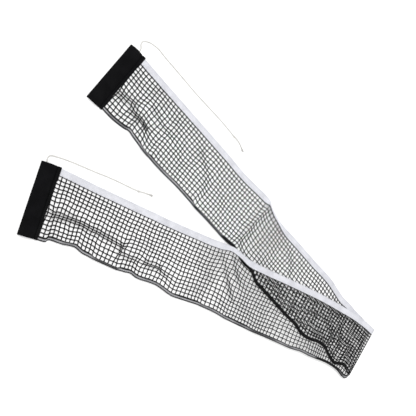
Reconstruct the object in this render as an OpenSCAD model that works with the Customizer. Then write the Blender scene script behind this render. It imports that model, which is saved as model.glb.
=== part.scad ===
// Table-tennis net, folded once in a V and laid flat: netting with a cord-lined
// top tape, a corded bottom hem and a fabric post sleeve sewn to each end.
// The left half lies on the surface; the right half folds back over it at the crease.

/* [Sleeves] */
// Length of a sleeve along the post
sleeve_length = 147; // [142:1:152]
// Width of the sleeve's pocket, laid flat
pocket_width = 32; // [28:1:36]
// Height of the pocket at its middle
pocket_height = 7; // [6.4:0.1:8]
// Thickness of one sleeve wall
sleeve_wall = 0.9; // [0.6:0.1:1]
// Width of the sleeve's seam allowance on the net
seam_width = 5; // [4:0.5:6]

/* [Tape and hem] */
// Width of the white top tape
tape_width = 15; // [11:0.5:16]
// Thickness of the tape where it wraps the tension cord
tape_thickness = 3; // [2.8:0.1:3.2]
// Width of the bottom hem
hem_width = 7.5; // [6:0.5:9]
// Thickness of the hem where it wraps the hem cord
hem_thickness = 2.8; // [2.6:0.1:3]

/* [Netting and cords] */
// Thickness of the netting
netting_thickness = 1; // [0.8:0.1:1]
// Diameter of the tension cord in the tape
cord_diameter = 1.8; // [1.4:0.1:1.8]
// Diameter of the cord in the hem
hem_cord_diameter = 1.4; // [1:0.1:1.4]

/* [Hidden] */

// Plan of each half, from its sleeve to the crease: [tape edge, hem edge] pairs.
left_plan = [
    [[-411, 219], [-414, 75]], [[-320, 208], [-325, 71]], [[-225, 198], [-237, 57]],
    [[-130, 186], [-143, 47]], [[-50, 179], [-62, 38]], [[10, 174], [-8, 33]],
    [[52, 154], [46, 18]], [[110, 147], [118, 1]], [[237, 135], [240, -14]],
    [[345, 115], [340, -12]], [[451, 108], [451, -24]]
];
right_plan = [
    [[-405, -70], [-356, -207]], [[-330, -53], [-292, -178]], [[-240, -31], [-207, -164]],
    [[-131, -7], [-100, -139]], [[-58, 18], [-20, -120]], [[-5, 33], [40, -107]],
    [[56, 38], [95, -100]], [[165, 64], [200, -77]], [[283, 92], [310, -51]],
    [[380, 104], [385, -36]], [[451, 108], [451, -24]]
];
steps_per_span = 3;

// Heights: the left half lies on the surface, the right half climbs onto it.
rest_height = tape_thickness / 2;
turn_radius = 1.8;
turn_height = rest_height + turn_radius;
lifted_height = turn_height + turn_radius;
tape_climb = [-110, -20];
hem_climb = [40, 400];
turn_angles = [17, 34, 50];

// Free ends of the tension cord, from just outside each sleeve's mouth to the bare end.
left_cord_route = [
    [-427.8, 229, 1.6], [-433.2, 236, 1.2], [-433.6, 243.5, 0.95], [-427, 250, 0.95],
    [-416, 254.3, 0.95], [-398, 255.9, 0.95], [-378.6, 253, 0.95], [-348.6, 249.7, 0.95],
    [-317, 246, 0.95], [-282, 242, 0.95], [-243, 239, 0.95], [-199, 236, 0.95],
    [-172, 232.8, 0.95], [-150, 229.5, 1.6], [-142, 229, 2.25], [-134, 227.5, 1.6],
    [-123, 223, 0.95], [-113, 217, 0.95]
];
right_cord_route = [
    [-437.5, -71.2, 1.6], [-436.5, -66.5, 1.2], [-431.5, -62, 0.95], [-422, -57.5, 0.95],
    [-409, -52.2, 0.95], [-393.4, -46.9, 0.95], [-371.4, -40.3, 0.95], [-346.7, -33, 0.95],
    [-321.7, -24.9, 0.95], [-295.6, -17.7, 0.95], [-270, -11.5, 0.95], [-252, -6.5, 1.6],
    [-244, -3, 2.25], [-236.5, 0, 1.6], [-229, 2.8, 0.95], [-222, 5, 0.95]
];
// Each route has its overhand knot at this point, counted from the bare end.
knot_from_end = 3;
knot_radius = 2.2;

// Fit of the layers in the tape and hem
slot_half = netting_thickness / 2 + 0.05;
cloth = 0.65;
tape_edge_gap = 4.5;
hem_edge_gap = 3.6;
stitch_height = 0.25;
stitch_gap = 0.05;
stitch_width = 0.6;
sleeve_overhang = 1;
hinge_gap = 0.6;
tab_length = 28;
tab_width = 5;
tab_thickness = 0.5;
cord_sides = 8;

netting_colour = [0.06, 0.06, 0.07];
tape_colour = [0.9, 0.9, 0.94];
cord_colour = [0.9, 0.89, 0.84];
sleeve_colour = [0.09, 0.09, 0.1];
hem_colour = [0.16, 0.16, 0.17];
thread_colour = [0.8, 0.8, 0.84];

function unit(v) = v / norm(v);
function mix(a, b, t) = a + (b - a) * t;
function smooth(t) = let (c = min(1, max(0, t))) c * c * (3 - 2 * c);
function climb(x, span) =
    mix(rest_height, lifted_height, smooth((x - span[0]) / (span[1] - span[0])));

// Catmull-Rom curve through one edge (0 tape, 1 hem) of a plan, at span k, fraction t
function edge_point(plan, edge, k, t) =
    let (
        last = len(plan) - 1,
        p0 = plan[max(0, k - 1)][edge],
        p1 = plan[k][edge],
        p2 = plan[min(last, k + 1)][edge],
        p3 = plan[min(last, k + 2)][edge]
    )
    0.5 * (2 * p1 + (p2 - p0) * t + (2 * p0 - 5 * p1 + 4 * p2 - p3) * t * t
        + (3 * p1 - p0 - 3 * p2 + p3) * t * t * t);

// A station is [point on the tape edge, point on the hem edge, upward normal].
function lying_station(plan, k, t, climbs) =
    let (
        tape = edge_point(plan, 0, k, t),
        hem = edge_point(plan, 1, k, t),
        tape_z = climbs ? climb(tape[0], tape_climb) : rest_height,
        hem_z = climbs ? climb(hem[0], hem_climb) : rest_height
    )
    [[tape[0], tape[1], tape_z], [hem[0], hem[1], hem_z], [0, 0, 1]];

// side is -1 for the lower half of the turn at the crease and 1 for the upper half.
function turn_station(plan, angle, side) =
    let (
        end = plan[len(plan) - 1],
        shift = [turn_radius * sin(angle), turn_height + side * turn_radius * cos(angle)],
        normal = [side * sin(angle), 0, cos(angle)]
    )
    [[end[0][0] + shift[0], end[0][1], shift[1]], [end[1][0] + shift[0], end[1][1], shift[1]], normal];

function stations(plan, climbs) = [
    for (k = [0 : len(plan) - 2], s = [0 : steps_per_span - 1])
        lying_station(plan, k, s / steps_per_span, climbs),
    lying_station(plan, len(plan) - 2, 1, climbs),
    for (angle = turn_angles) turn_station(plan, angle, climbs ? 1 : -1)
];

left_stations = stations(left_plan, false);
right_stations = stations(right_plan, true);

// A profile point [w, h] lies w from the chosen edge towards the other one, and h above the cloth.
function placed(station, edge, w, h) =
    let (from = station[edge], to = station[1 - edge])
    from + unit(to - from) * w + station[2] * h;

// Closed solid through rings with the same even number of points. Point i of a ring faces
// point i from its end, so that strips between them close both ends. flip turns the faces round.
module swept(rings, flip) {
    sides = len(rings[0]);
    last = (len(rings) - 1) * sides;
    strips = [for (i = [0 : sides / 2 - 2]) [i, i + 1, sides - 2 - i, sides - 1 - i]];
    faces = [
        each strips,
        for (r = [0 : len(rings) - 2], i = [0 : sides - 1])
            let (a = r * sides + i, b = r * sides + (i + 1) % sides)
            each [[a, a + sides, b], [b, a + sides, b + sides]],
        for (s = strips) [last + s[3], last + s[2], last + s[1], last + s[0]]
    ];
    turned = [for (f = faces) [for (i = [len(f) - 1 : -1 : 0]) f[i]]];
    polyhedron([for (ring = rings) each ring], flip ? turned : faces);
}

// Sweeps an anticlockwise profile along the tape edge (0) or the hem edge (1).
module along(stations, edge, profile) {
    swept([for (s = stations) [for (p = profile) placed(s, edge, p[0], p[1])]], edge == 0);
}

module netting(stations) {
    h = netting_thickness / 2;
    rings = [for (s = stations) [
        placed(s, 0, tape_edge_gap, h), placed(s, 1, hem_edge_gap, h),
        placed(s, 1, hem_edge_gap, -h), placed(s, 0, tape_edge_gap, -h)
    ]];
    color(netting_colour) swept(rings, false);
}

// Band folded over an edge: a channel for its cord, then a face on each side of the netting
function band_profile(width, thickness, channel) =
    let (
        bulge = thickness / 2,
        face = slot_half + cloth,
        wall = bulge - channel,
        upper = [
            [width, face], [2 * bulge + 0.6, face], [2 * bulge - 0.2, bulge], [0.5 * bulge, bulge],
            [0, 0.5 * bulge]
        ],
        inner = [
            [wall, 0.5 * channel], [wall + 0.5 * channel, channel], [wall + 1.6 * channel, channel],
            [2 * bulge + 0.4, slot_half], [width, slot_half]
        ]
    )
    [
        for (p = upper) p,
        for (i = [len(upper) - 1 : -1 : 0]) [upper[i][0], -upper[i][1]],
        for (i = [len(inner) - 1 : -1 : 0]) [inner[i][0], -inner[i][1]],
        for (p = inner) p
    ];

module band(stations, edge, width, thickness, cord) {
    along(stations, edge, band_profile(width, thickness, cord / 2 + 0.05));
}

module held_cord(stations, edge, thickness, cord) {
    r = cord / 2;
    circle_points = [for (i = [0 : cord_sides - 1])
        let (a = 360 * i / cord_sides)
        [thickness / 2 + r * cos(a), r * sin(a)]
    ];
    color(cord_colour) along(stations, edge, circle_points);
}

// A row of stitches on each face of a band
module stitch_rows(stations, edge, w) {
    face = slot_half + cloth;
    for (side = [-1, 1]) {
        low = side > 0 ? face + stitch_gap : -face - stitch_gap - stitch_height;
        row = [
            [w, low], [w + stitch_width, low],
            [w + stitch_width, low + stitch_height], [w, low + stitch_height]
        ];
        along(stations, edge, row);
    }
}

// Puts children in a sleeve's own frame: origin at the half's tape corner,
// +X away from the netting, +Y down the sleeve towards the hem.
module at_sleeve(plan) {
    tape = plan[0][0];
    down = plan[0][1] - tape;
    translate([tape[0], tape[1], 0]) rotate([0, 0, atan2(down[1], down[0]) - 90])
        children();
}

module sleeve_flange(plan) {
    face = 2 * rest_height;
    color(sleeve_colour) at_sleeve(plan) {
        translate([0, -sleeve_overhang, 0]) cube([seam_width, sleeve_length, face]);
        translate([-tab_width, -sleeve_overhang, face])
            cube([tab_width + seam_width - hinge_gap, tab_length, tab_thickness]);
    }
}

// Two rows of stitches that hold the netting between the sleeve's layers
module sleeve_stitching(plan) {
    color(sleeve_colour) at_sleeve(plan)
        for (x = [1, 3.4])
            translate([x, tab_length, 2 * rest_height])
                cube([stitch_width, sleeve_length - tab_length - 3, stitch_height]);
}

// Pocket of doubled cloth, open at both ends, flat underneath and thin along its edges
module sleeve(plan) {
    edge_height = 2.6;
    slope = 4;
    outer = [
        [0, 0], [pocket_width, 0], [pocket_width, edge_height],
        [pocket_width - slope, pocket_height], [slope, pocket_height], [0, edge_height]
    ];
    wall = sleeve_wall;
    inner = [
        [wall, wall], [pocket_width - wall, wall], [pocket_width - wall, edge_height - 0.3],
        [pocket_width - slope - 0.3, pocket_height - wall], [slope + 0.3, pocket_height - wall],
        [wall, edge_height - 0.3]
    ];
    color(sleeve_colour) at_sleeve(plan)
        translate([seam_width + hinge_gap, sleeve_length - sleeve_overhang, 0]) rotate([90, 0, 0])
            linear_extrude(height = sleeve_length) difference() {
                polygon(outer);
                polygon(inner);
            }
}

// Smooth route through the hand-set points, two rings to a span
function route_point(route, k, t) =
    let (
        last = len(route) - 1,
        p0 = route[max(0, k - 1)],
        p1 = route[k],
        p2 = route[min(last, k + 1)],
        p3 = route[min(last, k + 2)]
    )
    0.5 * (2 * p1 + (p2 - p0) * t + (2 * p0 - 5 * p1 + 4 * p2 - p3) * t * t
        + (3 * p1 - p0 - 3 * p2 + p3) * t * t * t);

module cord_end(route) {
    last = len(route) - 1;
    knot = last - knot_from_end;
    centres = [
        for (k = [0 : last - 1], t = [0, 0.5]) route_point(route, k, t),
        route[last]
    ];
    radii = [for (i = [0 : len(centres) - 1]) i == 2 * knot ? knot_radius : cord_diameter / 2];
    rings = [for (i = [0 : len(centres) - 1])
        let (
            ahead = centres[min(len(centres) - 1, i + 1)] - centres[max(0, i - 1)],
            side = unit(cross(ahead, [0, 0, 1])),
            up = unit(cross(side, ahead))
        )
        [for (s = [0 : cord_sides - 1])
            let (a = 360 * (s + 0.5) / cord_sides)
            centres[i] + radii[i] * (cos(a) * side + sin(a) * up)
        ]
    ];
    color(cord_colour) swept(rings, true);
}

module left_netting() { netting(left_stations); }
module right_netting() { netting(right_stations); }

module left_top_tape() {
    color(tape_colour) band(left_stations, 0, tape_width, tape_thickness, cord_diameter);
}
module right_top_tape() {
    color(tape_colour) band(right_stations, 0, tape_width, tape_thickness, cord_diameter);
}

module left_tension_cord() { held_cord(left_stations, 0, tape_thickness, cord_diameter); }
module right_tension_cord() { held_cord(right_stations, 0, tape_thickness, cord_diameter); }

module left_tape_stitching() {
    color(thread_colour) stitch_rows(left_stations, 0, tape_width - 2.4);
}
module right_tape_stitching() {
    color(thread_colour) stitch_rows(right_stations, 0, tape_width - 2.4);
}

module left_bottom_hem() {
    color(hem_colour) band(left_stations, 1, hem_width, hem_thickness, hem_cord_diameter);
}
module right_bottom_hem() {
    color(hem_colour) band(right_stations, 1, hem_width, hem_thickness, hem_cord_diameter);
}

module left_hem_cord() { held_cord(left_stations, 1, hem_thickness, hem_cord_diameter); }
module right_hem_cord() { held_cord(right_stations, 1, hem_thickness, hem_cord_diameter); }

module left_hem_stitching() {
    color(netting_colour) stitch_rows(left_stations, 1, hem_width - 1.8);
}
module right_hem_stitching() {
    color(netting_colour) stitch_rows(right_stations, 1, hem_width - 1.8);
}

module left_sleeve_flange() { sleeve_flange(left_plan); }
module right_sleeve_flange() { sleeve_flange(right_plan); }
module left_sleeve_stitching() { sleeve_stitching(left_plan); }
module right_sleeve_stitching() { sleeve_stitching(right_plan); }
module left_sleeve() { sleeve(left_plan); }
module right_sleeve() { sleeve(right_plan); }

module left_cord_end() { cord_end(left_cord_route); }
module right_cord_end() { cord_end(right_cord_route); }

left_netting();
right_netting();
left_top_tape();
right_top_tape();
left_tension_cord();
right_tension_cord();
left_tape_stitching();
right_tape_stitching();
left_bottom_hem();
right_bottom_hem();
left_hem_cord();
right_hem_cord();
left_hem_stitching();
right_hem_stitching();
left_sleeve_flange();
right_sleeve_flange();
left_sleeve_stitching();
right_sleeve_stitching();
left_sleeve();
right_sleeve();
left_cord_end();
right_cord_end();
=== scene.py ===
"""Table-tennis net, folded once in a V and lying flat on a white surface."""

import math

import bmesh
import bpy
import numpy as np
from mathutils import Matrix, Vector, noise


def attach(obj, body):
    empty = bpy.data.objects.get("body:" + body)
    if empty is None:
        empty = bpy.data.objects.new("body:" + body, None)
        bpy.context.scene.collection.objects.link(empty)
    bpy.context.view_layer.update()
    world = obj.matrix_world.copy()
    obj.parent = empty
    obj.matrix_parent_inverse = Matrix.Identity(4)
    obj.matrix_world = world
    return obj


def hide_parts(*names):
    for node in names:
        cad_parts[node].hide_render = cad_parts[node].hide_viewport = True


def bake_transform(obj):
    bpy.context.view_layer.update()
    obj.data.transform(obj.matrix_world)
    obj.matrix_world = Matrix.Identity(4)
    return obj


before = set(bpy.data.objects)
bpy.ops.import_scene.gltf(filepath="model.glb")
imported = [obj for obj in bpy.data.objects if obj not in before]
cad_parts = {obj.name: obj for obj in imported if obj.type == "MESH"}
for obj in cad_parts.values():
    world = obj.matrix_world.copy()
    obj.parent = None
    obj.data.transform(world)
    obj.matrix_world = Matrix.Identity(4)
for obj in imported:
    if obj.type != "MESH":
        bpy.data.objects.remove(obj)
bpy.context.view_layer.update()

# Every length below is in millimetres, and MM turns it into metres where a mesh is made.
MM = 0.001

# ---------------------------------------------------------------- camera
CAMERA_PLACE = Vector((-554.3, -292.6, 1137.4))
CAMERA_VIEW = Vector((0.3527, 0.2801, -0.8928))
CAMERA_RIGHT = Vector((0.7070, 0.5453, 0.4504))
LENS = 50.66
SENSOR_WIDTH = 36


def make_camera():
    data = bpy.data.cameras.new("camera")
    data.lens = LENS
    data.sensor_width = SENSOR_WIDTH
    camera = bpy.data.objects.new("camera", data)
    bpy.context.scene.collection.objects.link(camera)
    back = -CAMERA_VIEW.normalized()
    right = (CAMERA_RIGHT - back * CAMERA_RIGHT.dot(back)).normalized()
    up = back.cross(right)
    axes = Matrix((right, up, back)).transposed().to_4x4()
    camera.matrix_world = Matrix.Translation(CAMERA_PLACE * MM) @ axes
    bpy.context.scene.camera = camera


make_camera()

# ---------------------------------------------------------------- sizes, as in the CAD model
TAPE_WIDTH = 15
HEM_WIDTH = 7.5
CORD_DIAMETER = 1.8
HEM_CORD_DIAMETER = 1.4
REST_HEIGHT = 1.5
TURN_RADIUS = 1.8
TURN_HEIGHT = REST_HEIGHT + TURN_RADIUS
LIFTED_HEIGHT = TURN_HEIGHT + TURN_RADIUS
TAPE_CLIMB = (-110, -20)
HEM_CLIMB = (40, 400)
CREASE_X = 451

# The netting's mesh
COLUMNS = 94
ROWS = 15
STRAND_RADIUS = 1.0
# How much thicker the yarn is at the sleeve than from the middle of the half onwards
SLEEVE_SWELL = 0.14
KNOT_RING = 1.2
KNOT_STRAND = 0.65

# Plan of each half, from its sleeve to the crease: pairs of a tape edge and a hem edge point.
LEFT_PLAN = [
    ((-411, 219), (-414, 75)), ((-385, 215.5), (-386, 72)), ((-357, 212.5), (-356, 73.5)),
    ((-343, 210.5), (-344, 76.5)), ((-326, 209), (-328, 72)), ((-288, 205), (-290, 63.5)),
    ((-236, 199.5), (-242, 57)), ((-180, 193.5), (-190, 53)), ((-130, 188), (-140, 46)),
    ((-90, 182.5), (-98, 41.5)), ((-50, 179.7), (-62, 37)), ((-14, 179), (-28, 32)),
    ((10, 176), (-8, 32)), ((22, 167.5), (6, 29)), ((47, 156.5), (36, 19)),
    ((75, 151), (66, 16)), ((100, 149.3), (92, 2.5)), ((125, 147), (118, -1)),
    ((170, 142), (165, -7)), ((204, 138), (205, -12)), ((240, 135.5), (240, -15)),
    ((270, 131.5), (270, -22.5)), ((296, 124.5), (298, -20)), ((323, 118), (322, -12.5)),
    ((348, 117), (346, -11)), ((372, 113.5), (368, -20)), ((401, 111.5), (395, -27)),
    ((427, 109), (423, -16)), ((451, 108), (451, -24)),
]
RIGHT_PLAN = [
    ((-405, -70), (-356, -207)), ((-391, -67), (-341, -201.5)), ((-383, -65), (-337, -194)),
    ((-357, -59), (-314, -186)), ((-330, -53), (-291, -176)), ((-307, -47.5), (-268, -176.5)),
    ((-277, -40), (-240, -171)), ((-220, -26), (-184, -158.5)), ((-197, -20), (-165, -151)),
    ((-175, -15), (-145, -150)), ((-131, -3.5), (-104, -138)), ((-95, 6.5), (-62, -136)),
    ((-58, 16.5), (-23, -125)), ((-25, 27), (7, -115.5)), ((0, 34), (38, -109)),
    ((20, 35), (58, -106)), ((50, 35.5), (84, -103)), ((110, 49), (140, -92)),
    ((165, 63), (187, -81)), ((223, 77), (259, -65)), ((253, 84), (291, -55)),
    ((283, 90), (320, -50)), ((338, 99.5), (357, -40)), ((368, 104.5), (384, -35)),
    ((397, 107.5), (408, -34)), ((426, 109), (433, -39)), ((440, 108.5), (446, -36.5)),
    ((451, 108), (451, -24)),
]

# Free ends of the tension cord, from inside each sleeve's mouth to the bare end.
LEFT_CORD_ROUTE = [
    (-427.6, 209, 2.1), (-426.5, 219, 2.1), (-427.8, 229, 2.1), (-433.2, 236, 1.5),
    (-433.6, 243.5, 1.05), (-427, 250, 0.95), (-416, 254.3, 0.95), (-398, 255.9, 0.95),
    (-378.6, 253, 0.95), (-348.6, 249.7, 0.95), (-317, 246, 0.95), (-282, 242, 0.95),
    (-243, 239, 0.95), (-199, 236, 0.95), (-172, 232.8, 0.95), (-150, 229.5, 1.6),
    (-142, 229, 2.25), (-134, 227.5, 1.6), (-123, 223, 0.95), (-113, 217, 0.95),
]
RIGHT_CORD_ROUTE = [
    (-426.3, -87.4, 2.05), (-431, -78.1, 2.05), (-435.2, -70.5, 2.05), (-435.2, -66.1, 2.05),
    (-431.5, -62, 2.0), (-422, -57.5, 1.5), (-409, -52.2, 0.95), (-393.4, -46.9, 0.95),
    (-371.4, -40.3, 0.95), (-346.7, -33, 0.95), (-321.7, -24.9, 0.95), (-295.6, -17.7, 0.95),
    (-270, -11.5, 0.95), (-252, -6.5, 1.6), (-244, -3, 2.25), (-236.5, 0, 1.6),
    (-229, 2.8, 0.95), (-222, 5, 0.95),
]
KNOT_FROM_END = 3
FRAYED_LENGTH = 16
# Three plies fill less than their round outline, so they are laid wider, and the cord lies higher.
PLY_SPREAD = 1.22
PLY_LIFT = 0.15
PLY_RADIUS = 0.62
PLY_PITCH = 5.0

# ---------------------------------------------------------------- small maths


def smooth(t):
    t = np.clip(t, 0, 1)
    return t * t * (3 - 2 * t)


def unit(v):
    v = np.asarray(v, float)
    return v / np.maximum(np.linalg.norm(v, axis=-1, keepdims=True), 1e-9)


def curve_through(points, steps):
    """Catmull-Rom curve through the points, with that many steps to a span."""
    points = np.asarray(points, float)
    padded = np.concatenate([points[:1], points, points[-1:]])
    t = (np.arange(steps) / steps)[:, None]
    spans = []
    for k in range(len(points) - 1):
        p0, p1, p2, p3 = padded[k : k + 4]
        spans.append(
            0.5 * (2 * p1 + (p2 - p0) * t + (2 * p0 - 5 * p1 + 4 * p2 - p3) * t**2
                   + (3 * p1 - p0 - 3 * p2 + p3) * t**3)
        )
    return np.concatenate([*spans, points[-1:]])


def lengths_along(points):
    steps = np.linalg.norm(np.diff(points, axis=0), axis=1)
    return np.concatenate([[0], np.cumsum(steps)])


def resampled(points, spacing):
    """The same line with points about that far apart."""
    along = lengths_along(points)
    places = np.linspace(0, along[-1], max(2, round(along[-1] / spacing) + 1))
    return np.stack([np.interp(places, along, points[:, axis]) for axis in range(3)], axis=1)


def ripple(x, y, size, seed):
    """Smooth noise from -1 to 1 over the plan."""
    return noise.noise(Vector((x / size, y / size, seed)))


def plateaus(x, spans):
    """Sum of smooth plateaus (start, full, end of full, end, value) at x."""
    total = 0.0
    for start, full, leave, end, value in spans:
        rise = smooth((x - start) / (full - start))
        total += value * float(rise * smooth((end - x) / (end - leave)))
    return total


# ---------------------------------------------------------------- mesh making

WELD_DISTANCE = 0.002


class Piece:
    """Collects the points, faces and weave coordinates (mm along, mm across) of one mesh."""

    def __init__(self):
        self.points = []
        self.faces = []
        self.weave = []
        self.count = 0

    def loft(self, rings, closed=True, caps=True):
        """Faces between rings of points. closed joins each ring's last point to its first."""
        rings = np.asarray(rings, float)
        m, n = rings.shape[:2]
        base = self.count
        self.points.append(rings.reshape(-1, 3))
        self.count += m * n
        spans = n if closed else n - 1
        first = rings[m // 2]
        across = lengths_along(np.concatenate([first, first[:1]]))
        along = lengths_along(rings.mean(axis=1))
        r, i = np.meshgrid(np.arange(m - 1), np.arange(spans), indexing="ij")
        j = (i + 1) % n
        quads = np.stack([r * n + i, r * n + j, (r + 1) * n + j, (r + 1) * n + i], axis=-1)
        self.faces.extend((quads.reshape(-1, 4) + base).tolist())
        corners = [(r, i), (r, i + 1), (r + 1, i + 1), (r + 1, i)]
        coordinates = [np.stack([along[a], across[b], 0 * along[a]], axis=-1) for a, b in corners]
        self.weave.append(np.stack(coordinates, axis=-2).reshape(-1, 3))
        if closed and caps:
            for row, order in ((0, range(n - 1, -1, -1)), (m - 1, range(n))):
                order = list(order)
                self.faces.append([base + row * n + k for k in order])
                self.weave.append(np.array([[along[row], across[k], 0] for k in order]))

    def tube(self, path, radius, sides=6, caps=True):
        """Round tube along a path; radius is a number or one for each point."""
        path = np.asarray(path, float)
        ahead = unit(np.gradient(path, axis=0))
        up = np.array([0.0, 0.0, 1.0])
        side = np.cross(ahead, up)
        weak = np.linalg.norm(side, axis=1) < 0.05
        side[weak] = np.cross(ahead[weak], [0.0, 1.0, 0.0])
        side = unit(side)
        over = np.cross(side, ahead)
        radius = np.broadcast_to(radius, len(path))[:, None, None]
        angles = np.arange(sides) * 2 * math.pi / sides
        cosines, sines = np.cos(angles)[None, :, None], np.sin(angles)[None, :, None]
        wheel = cosines * side[:, None] + sines * over[:, None]
        self.loft(path[:, None] + radius * wheel, caps=caps)

    def finish(self, name, material):
        """Welded mesh object in the scene, with the weave coordinates as an attribute."""
        mesh = bpy.data.meshes.new(name)
        points = np.concatenate(self.points) * MM
        mesh.from_pydata(points.tolist(), [], self.faces)
        weave = mesh.attributes.new("weave", "FLOAT_VECTOR", "CORNER")
        weave.data.foreach_set("vector", np.concatenate(self.weave).astype(np.float32).ravel())
        work = bmesh.new()
        work.from_mesh(mesh)
        bmesh.ops.remove_doubles(work, verts=work.verts, dist=WELD_DISTANCE * MM)
        bmesh.ops.recalc_face_normals(work, faces=work.faces)
        work.to_mesh(mesh)
        work.free()
        mesh.shade_smooth()
        mesh.materials.append(material)
        made = bpy.data.objects.new(name, mesh)
        bpy.context.scene.collection.objects.link(made)
        return made


# ---------------------------------------------------------------- materials


class Shader:
    """A Principled material with a few node shortcuts."""

    def __init__(self, name, roughness, specular=0.5):
        self.material = bpy.data.materials.new(name)
        self.material.use_nodes = True
        self.tree = self.material.node_tree
        self.surface = self.tree.nodes["Principled BSDF"]
        self.surface.inputs["Roughness"].default_value = roughness
        self.surface.inputs["Specular IOR Level"].default_value = specular

    def put(self, socket, value):
        if isinstance(value, bpy.types.NodeSocket):
            self.tree.links.new(value, socket)
        else:
            socket.default_value = value

    def math(self, operation, a, b=0.0):
        node = self.tree.nodes.new("ShaderNodeMath")
        node.operation = operation
        self.put(node.inputs[0], a)
        self.put(node.inputs[1], b)
        return node.outputs[0]

    def weave_axes(self):
        node = self.tree.nodes.new("ShaderNodeAttribute")
        node.attribute_name = "weave"
        split = self.tree.nodes.new("ShaderNodeSeparateXYZ")
        self.tree.links.new(node.outputs["Vector"], split.inputs[0])
        return split.outputs[0], split.outputs[1]

    def wave(self, place, period):
        """Sine of period millimetres, from -1 to 1."""
        return self.math("SINE", self.math("MULTIPLY", place, 2 * math.pi / period))

    def noise(self, size, detail=3.0):
        """Noise from 0 to 1 with blotches about size millimetres across, fixed to the piece."""
        place = self.tree.nodes.new("ShaderNodeTexCoord")
        node = self.tree.nodes.new("ShaderNodeTexNoise")
        node.inputs["Scale"].default_value = 1 / (size * MM)
        node.inputs["Detail"].default_value = detail
        self.tree.links.new(place.outputs["Object"], node.inputs["Vector"])
        return node.outputs["Fac"]

    def contrast(self, value, gain):
        """Stretches a value from 0 to 1 about its middle."""
        return self.math("ADD", self.math("MULTIPLY", self.math("SUBTRACT", value, 0.5), gain), 0.5)

    def blend(self, factor, a, b):
        node = self.tree.nodes.new("ShaderNodeMix")
        node.data_type = "RGBA"
        self.put(node.inputs[0], factor)
        self.put(node.inputs[6], a)
        self.put(node.inputs[7], b)
        return node.outputs[2]

    def bump(self, height, distance):
        """distance is the height in millimetres of a bump from 0 to 1."""
        node = self.tree.nodes.new("ShaderNodeBump")
        node.inputs["Distance"].default_value = distance * MM
        self.put(node.inputs["Height"], height)
        self.tree.links.new(node.outputs[0], self.surface.inputs["Normal"])

    def colour(self, value):
        self.put(self.surface.inputs["Base Color"], value)


def twine_material(name, dark, light, twist, roughness, specular, twist_depth):
    """Twisted yarn: slanting plies along the weave coordinates, with dirt and fibre variation."""
    made = Shader(name, roughness, specular=specular)
    along, across = made.weave_axes()
    slant = made.math("ADD", along, made.math("MULTIPLY", across, twist / 3.6))
    plies = made.math("ADD", made.math("MULTIPLY", made.wave(slant, twist), 0.5), 0.5)
    fibre = made.noise(0.5, 4.0)
    height = made.math("ADD", plies, made.math("MULTIPLY", fibre, 0.5))
    made.bump(height, twist_depth)
    made.colour(made.blend(made.noise(14.0), dark, light))
    return made.material


def woven_material(name, dark, light, thread, depth, roughness, specular, rib=0.0):
    """Plain weave of crossing threads, thread millimetres apart, with optional ribs along it."""
    made = Shader(name, roughness, specular=specular)
    along, across = made.weave_axes()
    over = made.math("MULTIPLY", made.wave(along, 2 * thread), made.wave(across, 2 * thread))
    crossings = made.math("MULTIPLY", over, 0.5)
    height = made.math("ADD", crossings, made.math("MULTIPLY", made.noise(0.6, 4.0), 0.6))
    if rib:
        height = made.math("ADD", height, made.math("MULTIPLY", made.wave(across, rib), 0.8))
    made.bump(height, depth)
    speckle = made.math("MULTIPLY", made.math("SUBTRACT", made.noise(1.8), 0.5), 1.5)
    blotches = made.math("ADD", made.contrast(made.noise(22.0), 1.8), speckle)
    if rib:
        wandering = made.math("ADD", across, made.noise(40.0))
        lines = made.math("MULTIPLY", made.wave(wandering, rib), 0.10)
        blotches = made.math("ADD", blotches, lines)
    # Random blotches, plus the over term, which lightens the crossings where the weave bump stands
    # up: a painted highlight.
    shade = made.math("ADD", blotches, made.math("MULTIPLY", over, 0.12))
    made.colour(made.blend(shade, dark, light))
    return made.material


def hem_material(name):
    """Grey binding that turns black where its edge attribute is 1: along both edges, and as painted
    shade where it curls and along its shaded stretches.
    """
    made = Shader(name, 0.75, specular=0.2)
    along, across = made.weave_axes()
    over = made.math("MULTIPLY", made.wave(along, 1.1), made.wave(across, 1.1))
    made.bump(made.math("ADD", over, made.noise(0.6, 4.0)), 0.12)
    place = made.tree.nodes.new("ShaderNodeAttribute")
    place.attribute_name = "edge"
    # The over term lightens the crossings where the weave bump stands up: a painted highlight.
    shade = made.math("ADD", made.contrast(made.noise(25.0), 1.6), made.math("MULTIPLY", over, 0.1))
    middle = made.blend(shade, (0.22, 0.22, 0.23, 1), (0.55, 0.55, 0.57, 1))
    # Near-black: the dark lines along both edges, and painted shade in the curls and shaded
    # stretches.
    made.colour(made.blend(place.outputs["Fac"], middle, (0.006, 0.006, 0.007, 1)))
    return made.material


netting_look = twine_material(
    "net_twine", (0.003, 0.003, 0.0035, 1), (0.010, 0.010, 0.011, 1),
    twist=1.6, roughness=0.7, specular=0.2, twist_depth=0.16,
)
tape_look = woven_material(
    "tape_weave", (0.56, 0.565, 0.605, 1), (0.74, 0.745, 0.79, 1),
    thread=0.55, depth=0.10, roughness=0.85, specular=0.3, rib=2.4,
)
cord_look = twine_material(
    "cord_yarn", (0.54, 0.53, 0.505, 1), (0.72, 0.71, 0.685, 1),
    twist=1.2, roughness=0.8, specular=0.3, twist_depth=0.08,
)
white_thread_look = twine_material(
    "white_thread_yarn", (0.62, 0.62, 0.68, 1), (0.78, 0.78, 0.83, 1),
    twist=0.8, roughness=0.7, specular=0.3, twist_depth=0.05,
)
black_thread_look = twine_material(
    "black_thread_yarn", (0.004, 0.004, 0.0045, 1), (0.012, 0.012, 0.013, 1),
    twist=0.8, roughness=0.7, specular=0.2, twist_depth=0.05,
)
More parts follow.
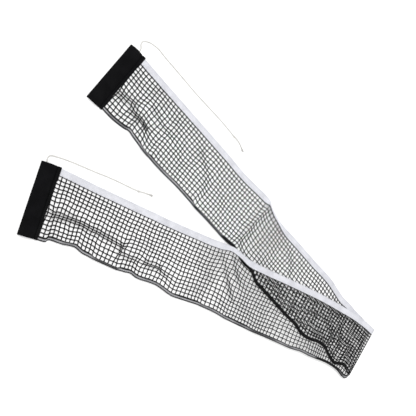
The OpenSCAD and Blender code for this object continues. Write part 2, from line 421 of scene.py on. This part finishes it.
hem_cord_look = twine_material(
    "hem_cord_yarn", (0.006, 0.006, 0.007, 1), (0.015, 0.015, 0.016, 1),
    twist=1.0, roughness=0.7, specular=0.2, twist_depth=0.06,
)
sleeve_look = woven_material(
    "sleeve_canvas", (0.002, 0.002, 0.0024, 1), (0.0055, 0.0055, 0.0062, 1),
    thread=0.7, depth=0.14, roughness=0.85, specular=0.07,
)
hem_look = hem_material("hem_binding")

# ---------------------------------------------------------------- free cord ends


def twisted_cord(name, path, radius, pitch, material, plies=3):
    """Laid cord of several plies that wind round the path and part at its frayed end."""
    path = resampled(path, pitch / 8)
    ahead = unit(np.gradient(path, axis=0))
    side = unit(np.cross(ahead, [0.0, 0.0, 1.0]))
    over = np.cross(side, ahead)
    turn = lengths_along(path) * 2 * math.pi / pitch
    to_end = lengths_along(path[::-1])[::-1]
    loose = smooth(1 - to_end / FRAYED_LENGTH)
    made = Piece()
    for ply in range(plies):
        angle = (turn * (1 - 0.5 * loose) + ply * 2 * math.pi / plies)[:, None]
        reach = (radius * (0.55 + 1.6 * loose))[:, None]
        offset = reach * (np.cos(angle) * side + np.sin(angle) * over)
        offset[:, 2] = np.maximum(offset[:, 2], PLY_RADIUS * radius - path[:, 2])
        made.tube(path + offset, PLY_RADIUS * radius * (1 - 0.45 * loose), 6)
    return made.finish(name, material)


def overhand_knot(name, centre, heading, material):
    """Pulled-up overhand knot: a small closed trefoil round the cord."""
    t = np.linspace(0, 2 * math.pi, 49)[:-1]
    x = np.sin(t) + 2 * np.sin(2 * t)
    y = np.cos(t) - 2 * np.cos(2 * t)
    flat = np.stack([x * 0.78, y * 0.62, -0.95 * np.sin(3 * t)], axis=1)
    ahead = unit(np.array([heading[0], heading[1], 0.0]))
    side = np.array([-ahead[1], ahead[0], 0.0])
    path = centre + flat[:, :1] * ahead + flat[:, 1:2] * side + flat[:, 2:] * np.array([0, 0, 1.0])
    made = Piece()
    made.tube(np.concatenate([path, path[:2]]), 0.8, 8)
    return made.finish(name, material)


def cord_end(side, route):
    """Free end of the tension cord, with its knot and frayed tip."""
    route = np.array(route) + [0, 0, PLY_LIFT]
    dense = curve_through(route, 6)
    cord = twisted_cord(f"cord_{side}", dense, PLY_SPREAD * CORD_DIAMETER / 2, PLY_PITCH, cord_look)
    knot_at = route[-1 - KNOT_FROM_END - 1]
    heading = route[-1 - KNOT_FROM_END] - route[-3 - KNOT_FROM_END]
    knot = overhand_knot(f"cord_knot_{side}", knot_at, heading, cord_look)
    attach(cord, f"{side}_cord_end")
    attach(knot, f"{side}_cord_end")
    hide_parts(f"{side}_cord_end")


cord_end("left", LEFT_CORD_ROUTE)
cord_end("right", RIGHT_CORD_ROUTE)

# ---------------------------------------------------------------- the lie of the cloth


def climb(x, span):
    """Height of the right half's edges, which climb from the surface onto the left half."""
    return REST_HEIGHT + (LIFTED_HEIGHT - REST_HEIGHT) * smooth((x - span[0]) / (span[1] - span[0]))


FULL_CURL = 115
NEAR_LIMIT = 0.15
# Waves in the netting's plan: size, amount and seed
NET_WANDER = ((55, 3.5, 1.3), (19, 1.5, 7.7))


class Half:
    """Where one half of the net lies. s runs from 0 at its sleeve to 1 at the crease.

    Tilts (degrees), pinches, curls and hem darks are plateaus along x; the hem darks are stretches
    of painted shade on the hem. Each pleat is a line of plan points, its width, its pull from 0 to 1
    and its rise.
    """

    def __init__(
        self, side, plan, climbs, top_row,
        tape_tilts, tape_pinches, hem_curls, hem_painted_shades, pleats, highest, seed,
    ):
        self.side = side
        self.top_row = top_row
        self.climbs = climbs
        self.tape_tilts = tape_tilts
        self.tape_pinches = tape_pinches
        self.hem_curls = hem_curls
        self.hem_painted_shades = hem_painted_shades
        self.pleats = pleats
        self.highest = highest
        self.seed = seed
        pairs = curve_through([[*tape, *hem] for tape, hem in plan], 24)
        self.tape_line, self.hem_line = pairs[:, :2], pairs[:, 2:]
        along = lengths_along(self.tape_line)
        self.length = along[-1]
        self.s_line = along / along[-1]

    def edges(self, s):
        """Tape edge and hem edge points."""
        tape = [np.interp(s, self.s_line, self.tape_line[:, axis]) for axis in (0, 1)]
        hem = [np.interp(s, self.s_line, self.hem_line[:, axis]) for axis in (0, 1)]
        tape_z = climb(tape[0], TAPE_CLIMB) if self.climbs else REST_HEIGHT
        hem_z = climb(hem[0], HEM_CLIMB) if self.climbs else REST_HEIGHT
        return np.array([*tape, tape_z]), np.array([*hem, hem_z])

    def calm(self, s):
        """0 at the sleeve and at the crease, where pieces meet, and 1 between."""
        return float(smooth(s / 0.03) * smooth((1 - s) / 0.04))

    def tape_point(self, s, w, h):
        """Point w across the tape from its outer edge and h above its middle layer."""
        tape, hem = self.edges(s)
        across = unit(hem - tape)
        tilt = math.radians(plateaus(tape[0], self.tape_tilts))
        wave = 0.35 * self.calm(s) * ripple(tape[0], tape[1], 22, self.seed)
        up = np.array([0.0, 0.0, 1.0])
        over = across * math.cos(tilt) + up * math.sin(tilt)
        out = up * math.cos(tilt) - across * math.sin(tilt)
        width = 1 - plateaus(tape[0], self.tape_pinches)
        w, h = width * np.asarray(w, float)[..., None], np.asarray(h, float)[..., None]
        return tape + over * w + out * (h + wave * w / TAPE_WIDTH)

    def curl_at(self, s):
        """How far the hem curls up, from 0 to 1."""
        hem = self.edges(s)[1]
        curl = plateaus(hem[0], self.hem_curls)
        curl *= 0.85 + 0.3 * ripple(hem[0], hem[1], 30, self.seed + 5)
        return curl * self.calm(s)

    def painted_shade_at(self, s):
        """How dark the whole hem is painted, from 0 to 1: painted shade where it curls and along its
        shaded stretches.
        """
        # Painted shade: the further the hem curls, the blacker it is painted.
        curl_shade = max(0, 1.3 * self.curl_at(s) - 0.45)
        return min(1.0, curl_shade + plateaus(self.edges(s)[1][0], self.hem_painted_shades))

    def hem_point(self, s, w, h):
        """Point w across the hem from its outer edge, along its curl, and h off its middle layer."""
        tape, hem = self.edges(s)
        across = unit(tape - hem)
        reach = max(0.02, math.radians(FULL_CURL * self.curl_at(s)))
        w, h = np.asarray(w, float), np.asarray(h, float)
        angle = reach * (1 - 2 * w / HEM_WIDTH)
        radius = HEM_WIDTH / (2 * reach)
        flat = radius * (math.sin(reach) - np.sin(angle)) - h * np.sin(angle)
        high = radius * (np.cos(angle) - math.cos(reach)) + h * np.cos(angle)
        up = np.array([0.0, 0.0, 1.0])
        return hem + across * flat[..., None] + up * high[..., None]

    def net_point(self, s, f):
        """Point of the netting, f from 0 at the tape to 1 at the hem."""
        top = self.tape_point(s, TAPE_WIDTH + self.top_row, 0.0)
        bottom = self.hem_point(s, HEM_WIDTH + 0.3, 0.0)
        point = top + (bottom - top) * f
        calm = self.calm(s)
        inside = math.sin(math.pi * min(1, max(0, f)))
        lift = max(0.0, top[2] - bottom[2] - 4) * calm
        point[2] += lift * ((1 - f) ** 3 - (1 - f))
        x, y = point[0], point[1]
        for size, amount, seed in NET_WANDER:
            point[0] += amount * calm * inside**0.5 * ripple(x, y, size, self.seed + seed)
            point[1] += amount * calm * inside**0.5 * ripple(x, y, size, self.seed + seed + 20)
        point[2] += calm * inside * (1.3 * ripple(x, y, 26, self.seed + 3) - 0.5)
        for line, width, pull, rise in self.pleats:
            point = pleated(point, line, width, pull * inside**0.4, rise * inside)
        floor = STRAND_RADIUS + 0.1
        if self.climbs:
            floor = max(floor, under_height(point[0], point[1]))
        point[2] = max(point[2], floor)
        if point[2] > self.highest:
            point[2] = self.highest + NEAR_LIMIT * math.tanh(point[2] - self.highest)
        return point


def pleated(point, line, width, pull, rise):
    """Gathers the cloth towards a line of plan points and lifts it there."""
    place = point[:2]
    best = None
    for k in range(len(line) - 1):
        a, b = np.array(line[k], float), np.array(line[k + 1], float)
        t = np.clip(np.dot(place - a, b - a) / np.dot(b - a, b - a), 0, 1)
        gap = place - (a + (b - a) * t)
        reach = np.linalg.norm(gap)
        if best is None or reach < best[0]:
            best = (reach, gap, (k + t) / (len(line) - 1))
    reach, gap, t = best
    near = math.exp(-((reach / width) ** 2))
    moved = point.copy()
    moved[:2] = place - gap * pull * near
    left = reach * (1 - pull * near)
    moved[2] += rise * (1 - 0.75 * t) * math.exp(-((left / (0.55 * width)) ** 2))
    return moved


def under_height(x, y):
    """How high the right half's netting lies where the left half's hem is under it."""
    if x < 30 or x > 445:
        return 0.0
    gap = np.hypot(left.hem_line[:, 0] - x, left.hem_line[:, 1] - y).min()
    return 5.0 - 3.4 * float(smooth((gap - 4) / 34))


left = Half(
    "left", LEFT_PLAN, False, 0.5,
    tape_tilts=[(2, 18, 45, 115, 42)], tape_pinches=[],
    hem_curls=[
        (-352, -342, -336, -318, 0.5), (-318, -300, -285, -275, 1.0), (-275, -262, -215, -200, 0.5),
        (-215, -200, -165, -150, 0.45), (-150, -132, -45, -30, 1.0), (-45, -30, 425, 445, 0.4),
    ],
    # Stretches of painted shade on the hem, where it bulges and where it lies under the other half.
    hem_painted_shades=[(-402, -395, -352, -346, 0.45), (-48, -32, 430, 445, 1.0)],
    pleats=[
        ([(17, 165), (10, 130), (4, 108), (8, 86), (3, 62)], 15, 0.5, 6.0),
        ([(-396, 124), (-370, 128), (-362, 115), (-333, 112), (-321, 107)], 17, 0.5, 4.0),
        ([(-345, 108), (-348, 80)], 9, 0.4, 2.5),
        ([(-325, 105), (-330, 78)], 9, 0.45, 2.5),
        ([(-330, 150), (-300, 138), (-262, 130)], 9, 0.35, 2.0),
        ([(-190, 150), (-150, 120), (-140, 90)], 12, 0.25, 2.0),
        ([(120, 120), (150, 90), (160, 60)], 12, 0.3, 1.0),
        ([(10, 42), (36, 30), (66, 27)], 12, 0.7, 0.4),
        ([(240, -3), (285, -9), (320, 1), (350, -1), (374, -12), (396, -20)], 13, 0.75, 0.4),
    ],
    highest=14.5, seed=11.0,
)
right = Half(
    "right", RIGHT_PLAN, True, 0.0,
    tape_tilts=[], tape_pinches=[(-32, -6, 26, 62, 0.26)],
    hem_curls=[
        (-332, -322, -270, -258, 0.4), (-316, -308, -296, -288, 0.4), (-262, -245, -195, -180, 1.0),
        (-180, -165, -130, -115, 0.45), (-130, -110, -60, -40, 0.6), (-10, 10, 70, 90, 0.7),
        (120, 150, 320, 350, 0.75), (320, 350, 400, 430, 1.0),
    ],
    # Stretches of painted shade on the hem.
    hem_painted_shades=[(90, 120, 200, 230, 0.4), (330, 350, 430, 445, 0.8)],
    pleats=[
        ([(-357, -149), (-322, -134), (-275, -125), (-212, -117)], 16, 0.5, 3.2),
        ([(-212, -117), (-205, -144)], 9, 0.6, 3.0),
        ([(-206, -131), (-169, -123)], 9, 0.55, 3.0),
        ([(-146, -114), (-118, -105), (-96, -109)], 12, 0.65, 3.2),
        ([(-118, -105), (-108, -118), (-112, -130)], 9, 0.55, 2.0),
        ([(-22, 10), (2, -8), (26, -30), (66, -61)], 12, 0.45, 1.0),
        ([(6, 22), (30, -2), (52, -16)], 9, 0.45, 1.0),
        ([(150, 30), (175, -5), (190, -50)], 11, 0.35, 0.8),
        ([(260, 60), (285, 15), (300, -30)], 11, 0.35, 0.8),
        ([(350, 80), (372, 30), (380, -15)], 11, 0.35, 0.8),
    ],
    highest=5.9, seed=37.0,
)

# ---------------------------------------------------------------- netting

STRAND_SIDES = 5
KNOT_SIDES = 4
KNOT_WEAVE = 0.42
KNOT_WANDER = 0.6
WANDER_LAYERS = (0.4, 10.3, 20.7)  # where the noise is read, one layer for each axis
# How far the yarn reaches inside the sleeve's seam, the tape and the hem
ROW_TUCK = 2.5
TAPE_TUCK = 2.5
HEM_TUCK = 1.5


def knot_ring(centre, along, across):
    """Ring of yarn that goes over one strand and under the other."""
    t = np.arange(9) * 2 * math.pi / 8
    up = np.array([0.0, 0.0, 1.0])
    return (
        centre
        + KNOT_RING * np.cos(t)[:, None] * unit(along + across)
        + KNOT_RING * np.sin(t)[:, None] * unit(along - across)
        + KNOT_WEAVE * np.cos(2 * t)[:, None] * up
    )


def jitter(i, j, seed):
    """Small offset of one knot from its even place: three layers of noise, the same in every run."""
    layers = [noise.noise(Vector((i * 1.37 + seed, j * 1.71, seed + z))) for z in WANDER_LAYERS]
    return KNOT_WANDER * np.array(layers)


def yarn_radius(s):
    """The yarn is fuller near the sleeve, where it's less stretched."""
    return STRAND_RADIUS + SLEEVE_SWELL * (1 - smooth(np.asarray(s) / 0.5))


def netting(half):
    """Strands along and across the half, with a knot at each crossing."""
    lattice = np.zeros((2 * COLUMNS + 1, 2 * ROWS + 1, 3))
    for i in range(2 * COLUMNS + 1):
        for j in range(2 * ROWS + 1):
            lattice[i, j] = half.net_point(i / (2 * COLUMNS), j / (2 * ROWS))
    for i in range(1, COLUMNS):
        for j in range(ROWS + 1):
            offset = jitter(i, j, half.seed)
            offset[2] = abs(offset[2]) * 0.3
            lattice[2 * i, 2 * j] += offset
    made = Piece()
    start = lattice[0] - ROW_TUCK * unit(lattice[2] - lattice[0])
    row_radius = yarn_radius(np.linspace(0, 1, len(lattice) + 1))
    for j in range(ROWS + 1):
        path = np.concatenate([start[2 * j : 2 * j + 1], lattice[:, 2 * j]])
        made.tube(path, row_radius, STRAND_SIDES)
    for i in range(COLUMNS):
        s = (i + 0.35) / COLUMNS if i == 0 else i / COLUMNS
        column = lattice[2 * i].copy() if i else 0.3 * lattice[1] + 0.7 * lattice[0]
        hidden_top = half.tape_point(s, TAPE_WIDTH - TAPE_TUCK, 0.0)
        hidden_bottom = half.hem_point(s, HEM_WIDTH - HEM_TUCK, 0.0)
        path = np.concatenate([[hidden_top], column, [hidden_bottom]])
        made.tube(path, yarn_radius(s), STRAND_SIDES)
    for i in range(1, COLUMNS):
        for j in range(ROWS + 1):
            along = unit(lattice[2 * i + 1, 2 * j] - lattice[2 * i - 1, 2 * j])
            low, high = max(0, 2 * j - 1), min(2 * ROWS, 2 * j + 1)
            across = unit(lattice[2 * i, high] - lattice[2 * i, low])
            made.tube(knot_ring(lattice[2 * i, 2 * j], along, across), KNOT_STRAND, KNOT_SIDES)
    return made.finish(f"net_{half.side}", netting_look), lattice[-1]


# ---------------------------------------------------------------- bands


def band_outline(width, bulge, face, gap):
    """Section of a folded band: round over its cord, then two plies with a gap for the netting."""
    turn = np.radians(np.linspace(60, 300, 13))
    nose = np.stack([bulge + bulge * np.cos(turn), bulge * np.sin(turn)], axis=1)
    flat = np.linspace(2.3 * bulge, width - 0.4, 7)
    lower = np.stack([flat, -face + 0 * flat], axis=1)
    edge = np.array([
        [width - 0.1, -face + 0.1], [width, -0.5 * (face + gap)], [width - 0.15, -gap],
        [width - 1.6, -gap], [width - 1.6, gap],
        [width - 0.15, gap], [width, 0.5 * (face + gap)], [width - 0.1, face - 0.1],
    ])
    return np.concatenate([nose, lower, edge, lower[::-1] * [1, -1]])


# Half heights of each band: over its cord, at its flat faces and in the gap for the netting
TAPE_BULGE, TAPE_FACE, TAPE_GAP = 1.45, 0.95, 0.3
HEM_BULGE, HEM_FACE, HEM_GAP = 1.2, 0.75, 0.28
TAPE_OUTLINE = band_outline(TAPE_WIDTH, TAPE_BULGE, TAPE_FACE, TAPE_GAP)
HEM_OUTLINE = band_outline(HEM_WIDTH, HEM_BULGE, HEM_FACE, HEM_GAP)
TAPE_STITCH_LINES = [TAPE_WIDTH - 2.1]
HEM_STITCH_LINES = [HEM_WIDTH - 1.5, 2.6]
TAPE_STITCH_SPACING = 4.4
HEM_STITCH_SPACING = 5.0
STITCH_RADII = np.array([0.08, 0.26, 0.3, 0.26, 0.08])


def band(name, point_at, places, outline, material):
    """Folded band along the places."""
    made = Piece()
    made.loft([point_at(s, outline[:, 0], outline[:, 1]) for s in places])
    return made.finish(name, material)


def stitches(name, point_at, length, lines, face, spacing, material):
    """Rows of short stitches sunk a little into both faces of a band."""
    made = Piece()
    count = round(length / spacing)
    sinks = np.array([-0.12, 0.04, 0.1, 0.04, -0.12])
    for k in range(count):
        middle = (k + 0.5) / count
        reach = 0.36 * spacing / length
        for w in lines:
            for side in (-1, 1):
                path = [
                    point_at(middle + reach * t, w, side * (face + sink))
                    for t, sink in zip((-1, -0.6, 0, 0.6, 1), sinks)
                ]
                made.tube(path, STITCH_RADII, 5)
    return made.finish(name, material)


def edge_shade(piece, half, places):
    """Marks where the hem is painted black: along its two edges, and as painted shade where it curls
    and along its shaded stretches.
    """
    w = HEM_OUTLINE[:, 0]
    dark = np.clip(np.maximum((2.7 - w) / 0.9, (w - HEM_WIDTH + 2.9) / 0.9), 0, 1)
    mesh = piece.data
    shade = mesh.attributes.new("edge", "FLOAT", "POINT")
    values = np.concatenate([np.maximum(dark, half.painted_shade_at(s)) for s in places])
    shade.data.foreach_set("value", values.astype(np.float32))


def held_cord(name, point_at, places, bulge, diameter, material):
    """Cord in a band's fold."""
    made = Piece()
    made.tube([point_at(s, bulge, 0.0) for s in places], diameter / 2, 8)
    return made.finish(name, material)


def keep(piece, body, slot, *nodes):
    """Puts a piece on its body and in place of its CAD nodes. The slot argument is not used."""
    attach(piece, body)
    if nodes:
        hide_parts(*nodes)
    return piece


BAND_PLACES = np.linspace(0, 1, 221)
crease_rows = {}
sheets = {}
for half in (left, right):
    side, body = half.side, f"{half.side}_half"
    net, crease_rows[side] = netting(half)
    keep(net, body, "netting", f"{side}_netting")
    tape = band(f"tape_{side}", half.tape_point, BAND_PLACES, TAPE_OUTLINE, tape_look)
    keep(tape, body, "top_tape", f"{side}_top_tape")
    hem = band(f"hem_{side}", half.hem_point, BAND_PLACES, HEM_OUTLINE, hem_look)
    edge_shade(hem, half, BAND_PLACES)
    keep(hem, body, "hem", f"{side}_bottom_hem")
    inner = held_cord(
        f"tape_cord_{side}", half.tape_point, BAND_PLACES, TAPE_BULGE, CORD_DIAMETER, cord_look
    )
    keep(inner, body, "cord", f"{side}_tension_cord")
    hem_cord = held_cord(
        f"hem_cord_{side}", half.hem_point, BAND_PLACES, HEM_BULGE, HEM_CORD_DIAMETER, hem_cord_look
    )
    keep(hem_cord, body, "hem_cord", f"{side}_hem_cord")
    tape_thread = stitches(
        f"tape_stitches_{side}", half.tape_point, half.length, TAPE_STITCH_LINES, TAPE_FACE,
        TAPE_STITCH_SPACING, white_thread_look,
    )
    keep(tape_thread, body, "white_thread", f"{side}_tape_stitching")
    hem_thread = stitches(
        f"hem_stitches_{side}", half.hem_point, half.length, HEM_STITCH_LINES, HEM_FACE,
        HEM_STITCH_SPACING, black_thread_look,
    )
    keep(hem_thread, body, "black_thread", f"{side}_hem_stitching")
    sheets[side] = (net, [tape, hem, inner, hem_cord, tape_thread, hem_thread])

# ---------------------------------------------------------------- the crease


def turned(point_at):
    """Carries a half's end round the turn: angle from 0 on the left half to 180 on the right."""
    middle = np.array([CREASE_X, 0.0, TURN_HEIGHT])

    def point(angle, w, h):
        start = point_at(1.0, w, h) - middle
        a = math.radians(angle)
        x = start[..., 0] * math.cos(a) - start[..., 2] * math.sin(a)
        z = start[..., 0] * math.sin(a) + start[..., 2] * math.cos(a)
        return np.stack([x, start[..., 1], z], axis=-1) + middle

    return point


TURN_PLACES = np.linspace(0, 180, 19)


def bend(piece):
    """Bakes a crease piece's transform into its mesh."""
    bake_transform(piece)


tape_turn = band("tape_crease", turned(left.tape_point), TURN_PLACES, TAPE_OUTLINE, tape_look)
bend(tape_turn)
hem_turn = band("hem_crease", turned(left.hem_point), TURN_PLACES, HEM_OUTLINE, hem_look)
edge_shade(hem_turn, left, 1 + 0 * TURN_PLACES)
bend(hem_turn)
net_turn = Piece()
for place in crease_rows["left"][::2]:
    a = np.radians(TURN_PLACES)
    rise = (place[2] - TURN_HEIGHT) * np.cos(a)
    swing = -(place[2] - TURN_HEIGHT) * np.sin(a)
    path = np.stack([CREASE_X + swing, place[1] + 0 * a, TURN_HEIGHT + rise], axis=1)
    net_turn.tube(path, STRAND_RADIUS, STRAND_SIDES)
fold = np.stack([place + [TURN_RADIUS, 0, TURN_RADIUS] for place in crease_rows["left"][::2]])
net_turn.tube(fold, STRAND_RADIUS, STRAND_SIDES)
for place in fold:
    ring = knot_ring(place, np.array([0, 0, 1.0]), np.array([0, 1.0, 0]))
    net_turn.tube(ring, KNOT_STRAND, KNOT_SIDES)
net_crease = net_turn.finish("net_crease", netting_look)
bend(net_crease)

# ---------------------------------------------------------------- sleeves

SLEEVE_LENGTH = 147
POCKET_WIDTH = 32
SEAM_WIDTH = 5
HINGE_GAP = 0.6
OVERHANG = 1
TAB_LENGTH = 28
TAB_REACH = 3
CLOTH = 0.8


class SleeveFrame:
    """A sleeve's own axes: x away from the netting, y down the sleeve from the tape's corner."""

    def __init__(self, plan):
        tape, hem = np.array(plan[0][0], float), np.array(plan[0][1], float)
        self.corner = tape
        self.down = unit(hem - tape)
        self.out = np.array([self.down[1], -self.down[0]])

    def at(self, x, y, z):
        x, y, z = np.broadcast_arrays(np.asarray(x, float), y, z)
        plan = self.corner + x[..., None] * self.out + y[..., None] * self.down
        return np.concatenate([plan, z[..., None]], axis=-1)


def pocket_section(height, inset):
    """Closed outline of the flattened pocket: flat underneath, low along its edges."""
    low, high = inset + 0.15, POCKET_WIDTH - inset
    x = np.linspace(inset + 0.35, high - 0.35, 17)
    share = (x - inset) / (high - inset)
    top = 1.9 - inset + (height - 1.9) * np.sin(math.pi * share) ** 0.85
    bottom = low + 0 * x
    left_edge = np.array([[inset, low + 0.35]])
    right_edge = np.array([[high, low + 0.35]])
    under = np.stack([x, bottom], axis=1)
    over = np.stack([x[::-1], np.maximum(top[::-1], low + 0.4)], axis=1)
    return np.concatenate([left_edge, under, right_edge, over])


def pocket(side, place, seed):
    """Tube of canvas, open at both ends."""
    made = Piece()
    middle = np.linspace(1.2, SLEEVE_LENGTH - 1.2, 41)
    ys = np.concatenate([[0, 0.4], middle, [SLEEVE_LENGTH - 0.4, SLEEVE_LENGTH]])
    outer, inner = [], []
    for y in ys:
        mouth = abs(2 * y / SLEEVE_LENGTH - 1) ** 3
        height = 5.0 + 1.2 * mouth + 0.5 * ripple(y, 0, 24, seed)
        fold = 0.25 if y < 0.3 or y > SLEEVE_LENGTH - 0.3 else 0.0
        ring_out = pocket_section(height - fold, fold)
        ring_in = pocket_section(height - CLOTH + fold, CLOTH - fold)
        wave = 0.22 * ripple(y, 9, 30, seed + 2)
        for ring, keepers in ((ring_out, outer), (ring_in, inner)):
            x = ring[:, 0] + SEAM_WIDTH + HINGE_GAP + wave * (ring[:, 0] > POCKET_WIDTH / 2)
            keepers.append(place.at(x, y - OVERHANG, ring[:, 1]))
    rings = [*outer, *inner[::-1], outer[0]]
    made.loft(rings, caps=False)
    return made.finish(f"sleeve_{side}", sleeve_look)


def seam_section(width_in, top):
    """Outline of the seam allowance, rounded along its top."""
    x0, x1 = -width_in, SEAM_WIDTH
    return np.array([
        [x0, 0.15], [x1, 0.15], [x1 + 0.1, 1.0], [x1, 2.0], [x1 - 0.5, 2.5],
        [x1 - 1.6, 0.97 * top], [0.5 * (x0 + x1), top], [x0 + 1.0, 0.98 * top],
        [x0 + 0.2, top - 0.35], [x0, top - 0.8], [x0, 1.0],
    ])


def seam(side, place, seed):
    """Seam allowance over the netting's end, with its wider tab over the tape's end."""
    made = Piece()
    ys = np.linspace(0, SLEEVE_LENGTH, 60)
    rings = []
    for y in ys:
        section = seam_section(1.2, 3.0 + 0.12 * ripple(y, 5, 15, seed))
        rings.append(place.at(section[:, 0], y - OVERHANG, section[:, 1]))
    made.loft(rings)
    tab_rings = []
    middle = np.linspace(1, TAB_LENGTH - 1, 14)
    for y in np.concatenate([[0, 0.3], middle, [TAB_LENGTH - 0.3, TAB_LENGTH]]):
        end = 0.12 if y < 0.2 or y > TAB_LENGTH - 0.2 else 0.0
        section = np.array([
            [-TAB_REACH + end, 2.4], [SEAM_WIDTH - 0.3, 2.2], [SEAM_WIDTH - 0.2, 2.8 - end],
            [SEAM_WIDTH - 1, 3.3 - end], [0, 3.5 - end], [-2.3, 3.45 - end],
            [-TAB_REACH + end, 3.2 - end],
        ])
        tab_rings.append(place.at(section[:, 0], y - OVERHANG, section[:, 1]))
    made.loft(tab_rings)
    return made.finish(f"sleeve_seam_{side}", sleeve_look)


def bridge(side, place):
    """Strip of canvas across the line where the pocket folds on its seam allowance."""
    made = Piece()
    ys = np.linspace(0.8, SLEEVE_LENGTH - 0.8, 40)
    x = np.linspace(SEAM_WIDTH - 0.9, SEAM_WIDTH + HINGE_GAP + 1.2, 12)
    under = np.stack([x, 0.55 + 0 * x], axis=1)
    over = np.stack([x[::-1], 1.45 + 0 * x], axis=1)
    outline = np.concatenate([under, over])
    made.loft([place.at(outline[:, 0], y - OVERHANG, outline[:, 1]) for y in ys])
    strip = made.finish(f"sleeve_bridge_{side}", sleeve_look)
    start = place.at(SEAM_WIDTH, SLEEVE_LENGTH / 2, 1.0) * MM
    end = place.at(SEAM_WIDTH + HINGE_GAP, SLEEVE_LENGTH / 2, 1.0) * MM
    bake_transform(strip)


def sleeve_threads(side, place):
    """Two rows of black stitches along the seam allowance and one down its tab."""
    made = Piece()
    sinks = np.array([-0.1, 0.05, 0.1, 0.05, -0.1])
    for x in (0.6, 3.2):
        for y in np.arange(TAB_LENGTH + 1, SLEEVE_LENGTH - 4, 4.2):
            path = place.at(x, y + np.array([-1.4, -0.9, 0, 0.9, 1.4]), 2.93 + sinks)
            made.tube(path, STITCH_RADII, 5)
    for y in np.arange(2.5, TAB_LENGTH - 2, 3.6):
        path = place.at(-1.8, y + np.array([-1.2, -0.8, 0, 0.8, 1.2]), 3.42 + sinks)
        made.tube(path, STITCH_RADII, 5)
    return made.finish(f"sleeve_stitches_{side}", black_thread_look)


for half, plan, seed in ((left, LEFT_PLAN, 3.0), (right, RIGHT_PLAN, 8.0)):
    side = half.side
    place = SleeveFrame(plan)
    cloth = keep(pocket(side, place, seed), f"{side}_sleeve", "sleeve", f"{side}_sleeve")
    keep(seam(side, place, seed), f"{side}_half", "sleeve", f"{side}_sleeve_flange")
    bridge(side, place)
    keep(sleeve_threads(side, place), f"{side}_half", "black_thread", f"{side}_sleeve_stitching")
    net, others = sheets[side]

# ---------------------------------------------------------------- floor and light


# Name, place in metres, size in metres and watts of each lamp; both face the middle of the net.
LAMPS = (("key", (-1.2, 1.4, 2.6), 1.6, 42), ("fill", (1.6, -1.0, 2.4), 2.0, 14))
FLOOR_REACH = 6.0
FLOOR_DROP = 0.0002
FLOOR_GLOW = 0.17
# The world lights the net with the first strength and shows the camera the sum of both.
WORLD_LIGHT = 0.8
WORLD_SEEN_EXTRA = 0.3


def make_stage():
    mesh = bpy.data.meshes.new("floor")
    r = FLOOR_REACH
    mesh.from_pydata([(-r, -r, 0), (r, -r, 0), (r, r, 0), (-r, r, 0)], [], [(0, 1, 2, 3)])
    floor = bpy.data.objects.new("floor", mesh)
    floor.location = (0, 0, -FLOOR_DROP)
    bpy.context.scene.collection.objects.link(floor)
    paper = Shader("floor_paper", 0.9, specular=0.1)
    paper.colour((0.92, 0.92, 0.92, 1))
    paper.surface.inputs["Emission Color"].default_value = (1, 1, 1, 1)
    paper.surface.inputs["Emission Strength"].default_value = FLOOR_GLOW
    mesh.materials.append(paper.material)
    world = bpy.data.worlds.new("studio")
    world.use_nodes = True
    world.node_tree.nodes["Background"].inputs[0].default_value = (1, 1, 1, 1)
    path = world.node_tree.nodes.new("ShaderNodeLightPath")
    strength = world.node_tree.nodes.new("ShaderNodeMath")
    strength.operation = "MULTIPLY_ADD"
    world.node_tree.links.new(path.outputs["Is Camera Ray"], strength.inputs[0])
    strength.inputs[1].default_value = WORLD_SEEN_EXTRA
    strength.inputs[2].default_value = WORLD_LIGHT
    world.node_tree.links.new(strength.outputs[0], world.node_tree.nodes["Background"].inputs[1])
    bpy.context.scene.world = world
    for name, spot, size, power in LAMPS:
        data = bpy.data.lights.new(name, "AREA")
        data.energy = power
        data.size = size
        lamp = bpy.data.objects.new(name, data)
        lamp.location = spot
        lamp.rotation_euler = (-Vector(spot)).to_track_quat("-Z", "Y").to_euler()
        bpy.context.scene.collection.objects.link(lamp)
    bpy.context.scene.view_settings.view_transform = "Standard"


make_stage()
